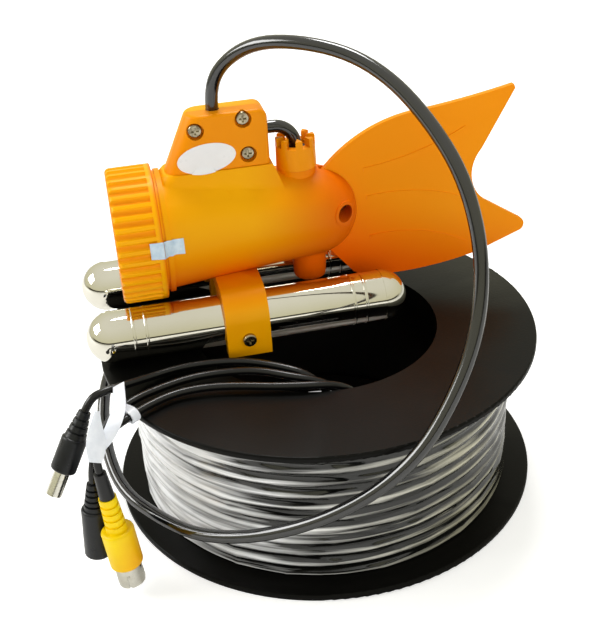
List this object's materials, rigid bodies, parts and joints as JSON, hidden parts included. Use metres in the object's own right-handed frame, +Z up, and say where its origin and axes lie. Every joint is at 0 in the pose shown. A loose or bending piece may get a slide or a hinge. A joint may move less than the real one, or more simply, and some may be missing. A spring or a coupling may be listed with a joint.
{
  "type": "underwater fishing camera",
  "caption": "Fish-shaped underwater camera with a ribbed lens ring, ballast tubes and forked tail, lying on the wound reel of its cable, with leads and plugs.",
  "frame": {"origin": "on the reel's axis, in the plane of the lower flange's underside", "axes": "+Z up along the reel's axis, +X along the camera towards its tail when its small yaw on the reel is left out, -Y towards the side that the cover screws are on"},
  "size_m": [0.1766, 0.1647, 0.1713],
  "materials": {
    "housing_plastic": "satin moulded",
    "ring_plastic": "satin moulded",
    "nut_plastic": "satin moulded",
    "tail_plastic": "smooth moulded",
    "polished_steel": "polished",
    "ballast_metal": "as cast",
    "screw_steel": "plain",
    "seal_rubber": "matte",
    "washer_plastic": "plain",
    "window_glass": "clear",
    "board": "solder mask",
    "lamp": "clear moulded",
    "lens_black": "satin",
    "reel_plastic": "satin moulded",
    "cable_jacket": "glossy jacket",
    "moulded_black": "satin moulded",
    "stretch_film": "clear, wrinkled",
    "plug_yellow": "moulded",
    "contact_metal": "plated",
    "tie_white": "plain"
  },
  "bodies": {
    "camera_on_reel": {"housing": "housing_plastic", "cable_block_cover": "housing_plastic", "tube_clamp": "housing_plastic", "tail_fin": "tail_plastic", "cover_screws": "screw_steel", "clamp_screws": "screw_steel", "tail_screw": "screw_steel", "window_oring": "seal_rubber", "gland_seal": "seal_rubber", "front_window": "window_glass", "lens_glass": "window_glass", "led_board": "board", "sensor_board": "board", "led_lamps": "lamp", "lens_barrel": "lens_black", "lens_carrier": "lens_black", "reel_lower_flange": "reel_plastic", "reel_upper_flange": "reel_plastic", "reel_core": "reel_plastic", "camera_cable_end": "cable_jacket", "main_cable": "cable_jacket", "cable_winding": "cable_jacket", "lead_power": "cable_jacket", "lead_video": "cable_jacket", "lead_light": "cable_jacket", "cable_breakout": "moulded_black", "power_plug": "moulded_black", "light_socket": "moulded_black", "video_sleeve": "moulded_black", "film_wrap": "stretch_film", "video_plug": "plug_yellow", "power_barrel": "contact_metal", "video_shell": "contact_metal", "video_pin": "contact_metal", "lead_tie": "tie_white"},
    "slip_washer": {"slip_washer": "washer_plastic"},
    "lens_ring": {"lens_ring": "ring_plastic"},
    "tube_near": {"ballast_tube_near": "polished_steel", "ballast_caps_near": "polished_steel", "ballast_slug_near": "ballast_metal"},
    "tube_far": {"ballast_tube_far": "polished_steel", "ballast_caps_far": "polished_steel", "ballast_slug_far": "ballast_metal"},
    "lock_near": {"lock_screw_near": "screw_steel"},
    "lock_far": {"lock_screw_far": "screw_steel"},
    "gland_nut": {"gland_nut": "nut_plastic"}
  },
  "joints": [
    {"name": "ring_travel", "type": "slide", "parent": "camera_on_reel", "child": "slip_washer", "axis": [-0.9787, -0.2053, 0], "range_m": [0, 0.006]},
    {"name": "ring_turn", "type": "hinge", "parent": "slip_washer", "child": "lens_ring", "pos_m": [-0.06573, 0.00336, 0.0997], "axis": [-0.9787, -0.2053, 0], "range_deg": [0, 1080]},
    {"name": "tube_slide_near", "type": "slide", "parent": "camera_on_reel", "child": "tube_near", "axis": [0.9787, 0.2053, 0], "range_m": [-0.015, 0.015]},
    {"name": "tube_slide_far", "type": "slide", "parent": "camera_on_reel", "child": "tube_far", "axis": [0.9787, 0.2053, 0], "range_m": [-0.015, 0.015]},
    {"name": "lock_turn_near", "type": "hinge", "parent": "camera_on_reel", "child": "lock_near", "pos_m": [-0.02391, -0.02016, 0.068], "axis": [-0.2053, 0.9787, 0], "range_deg": [0, 90]},
    {"name": "lock_turn_far", "type": "hinge", "parent": "camera_on_reel", "child": "lock_far", "pos_m": [-0.03689, 0.0417, 0.068], "axis": [0.2053, -0.9787, 0], "range_deg": [0, 90]},
    {"name": "gland_turn", "type": "hinge", "parent": "camera_on_reel", "child": "gland_nut", "pos_m": [-0.00446, 0.01621, 0.122], "axis": [0, 0, 1], "range_deg": [0, 180]}
  ],
  "couplings": [
    {"joint": "ring_travel", "follows": "ring_turn", "m_per_rad": 0.0003183}
  ]
}
